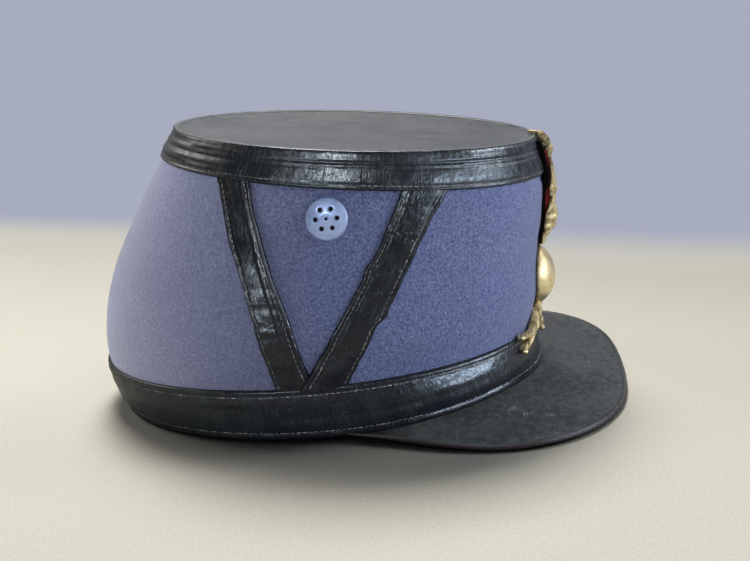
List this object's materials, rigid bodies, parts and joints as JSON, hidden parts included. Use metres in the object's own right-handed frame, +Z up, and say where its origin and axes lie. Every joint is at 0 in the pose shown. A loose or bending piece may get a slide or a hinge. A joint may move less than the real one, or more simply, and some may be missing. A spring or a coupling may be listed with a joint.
{
  "type": "shako",
  "caption": "Low felt shako leaning forward, with leather top, bands, side V straps and peak, domed vents and a gilt flame badge on the front.",
  "frame": {"origin": "on the surface that the hat stands on, under the middle of its outline", "axes": "+X to the hat's front, +Y to the wearer's left, +Z up"},
  "size_m": [0.2482, 0.1836, 0.1306],
  "materials": {
    "felt": "matte blue-grey wool felt",
    "crown_leather": "worn black leather, satin",
    "band_leather": "creased black leather, semi-gloss",
    "peak_leather": "scuffed black leather, satin, brown edge",
    "strap_leather": "cracked black leather, semi-gloss",
    "vent_metal": "pale blue-grey, satin",
    "red_cloth": "matte red cloth",
    "gilt": "satin gilt, darkened in the hollows"
  },
  "bodies": {
    "root": {"felt_body": "felt", "crown_top": "crown_leather", "top_band": "band_leather", "base_band": "band_leather", "peak": "peak_leather", "right_rear_strap": "strap_leather", "right_front_strap": "strap_leather", "left_rear_strap": "strap_leather", "left_front_strap": "strap_leather", "right_vent": "vent_metal", "left_vent": "vent_metal", "badge_backing": "band_leather", "badge_underlay": "red_cloth", "badge_spray": "gilt", "badge_boss": "gilt"}
  },
  "joints": []
}
